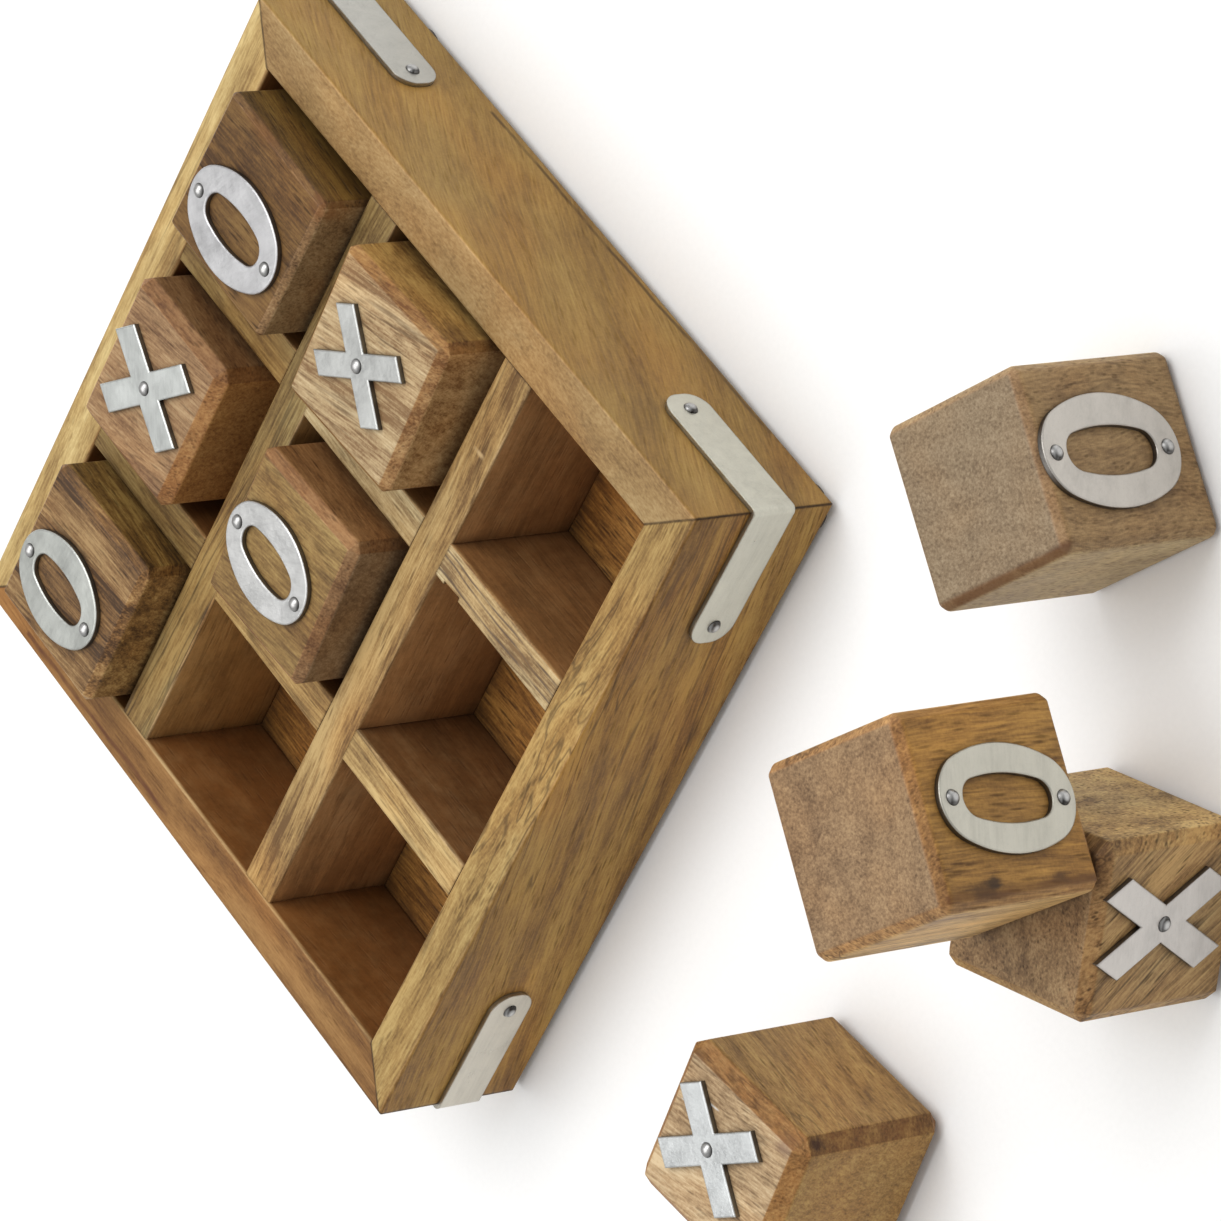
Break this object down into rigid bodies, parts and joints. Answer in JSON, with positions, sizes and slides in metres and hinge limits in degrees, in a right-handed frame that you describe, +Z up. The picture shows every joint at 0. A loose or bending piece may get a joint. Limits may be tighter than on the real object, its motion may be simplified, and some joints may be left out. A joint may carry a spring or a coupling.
{
  "type": "tic tac toe set",
  "caption": "Square wooden noughts-and-crosses tray with cell dividers, metal corner straps and loose chamfered blocks that carry riveted metal O and X plates.",
  "frame": {"origin": "middle of the whole laid-out set (tray and loose blocks), on the surface it stands on; the tray's centre is 36 mm to -X and 59.8 mm to +Y of it", "axes": "+Z up out of the tray; +X towards the right rail and +Y towards the back rail; the loose blocks on the table stand in front of the front rail, at -Y"},
  "size_m": [0.226, 0.2734, 0.0724],
  "materials": {
    "tray_wood": "satin",
    "tray_floor_wood": "satin",
    "divider_wood": "satin",
    "block_wood": "satin",
    "strap_metal": "satin",
    "plate_metal": "satin",
    "pin_metal": "satin",
    "felt": "matte"
  },
  "bodies": {
    "tray": {"rail_front": "tray_wood", "rail_right": "tray_wood", "rail_back": "tray_wood", "rail_left": "tray_wood", "floor_panel": "tray_floor_wood", "long_divider_front": "divider_wood", "long_divider_back": "divider_wood", "short_divider_front_left": "divider_wood", "short_divider_front_right": "divider_wood", "short_divider_middle_left": "divider_wood", "short_divider_middle_right": "divider_wood", "short_divider_back_left": "divider_wood", "short_divider_back_right": "divider_wood", "corner_strap_front_right": "strap_metal", "corner_strap_back_right": "strap_metal", "corner_strap_front_left": "strap_metal", "corner_strap_back_left": "strap_metal", "strap_pins": "pin_metal", "felt_feet": "felt"},
    "piece_o_centre": {"block_o_centre": "block_wood", "plate_o_centre": "plate_metal", "pins_o_centre": "pin_metal"},
    "piece_x_right": {"block_x_right": "block_wood", "plate_x_right": "plate_metal", "pins_x_right": "pin_metal"},
    "piece_o_back_right": {"block_o_back_right": "block_wood", "plate_o_back_right": "plate_metal", "pins_o_back_right": "pin_metal"},
    "piece_x_back": {"block_x_back": "block_wood", "plate_x_back": "plate_metal", "pins_x_back": "pin_metal"},
    "piece_o_back_left": {"block_o_back_left": "block_wood", "plate_o_back_left": "plate_metal", "pins_o_back_left": "pin_metal"},
    "piece_x_table": {"block_x_table": "block_wood", "plate_x_table": "plate_metal", "pins_x_table": "pin_metal"},
    "piece_x_lower": {"block_x_lower": "block_wood", "plate_x_lower": "plate_metal", "pins_x_lower": "pin_metal"},
    "piece_o_upper": {"block_o_upper": "block_wood", "plate_o_upper": "plate_metal", "pins_o_upper": "pin_metal"},
    "piece_o_table": {"block_o_table": "block_wood", "plate_o_table": "plate_metal", "pins_o_table": "pin_metal"}
  },
  "joints": [
    {"name": "lift_o_centre", "type": "slide", "parent": "tray", "child": "piece_o_centre", "axis": [0, 0, 1], "range_m": [0, 0.05]},
    {"name": "lift_x_right", "type": "slide", "parent": "tray", "child": "piece_x_right", "axis": [0, 0, 1], "range_m": [0, 0.05]},
    {"name": "lift_o_back_right", "type": "slide", "parent": "tray", "child": "piece_o_back_right", "axis": [0, 0, 1], "range_m": [0, 0.05]},
    {"name": "lift_x_back", "type": "slide", "parent": "tray", "child": "piece_x_back", "axis": [0, 0, 1], "range_m": [0, 0.05]},
    {"name": "lift_o_back_left", "type": "slide", "parent": "tray", "child": "piece_o_back_left", "axis": [0, 0, 1], "range_m": [0, 0.05]},
    {"name": "lift_x_table", "type": "slide", "parent": "tray", "child": "piece_x_table", "axis": [0, 0, 1], "range_m": [0, 0.05]},
    {"name": "lift_x_lower", "type": "slide", "parent": "tray", "child": "piece_x_lower", "axis": [0, 0, 1], "range_m": [0, 0.05]},
    {"name": "lift_o_upper", "type": "slide", "parent": "piece_x_lower", "child": "piece_o_upper", "axis": [0, 0, 1], "range_m": [0, 0.05]},
    {"name": "lift_o_table", "type": "slide", "parent": "tray", "child": "piece_o_table", "axis": [0, 0, 1], "range_m": [0, 0.05]}
  ]
}
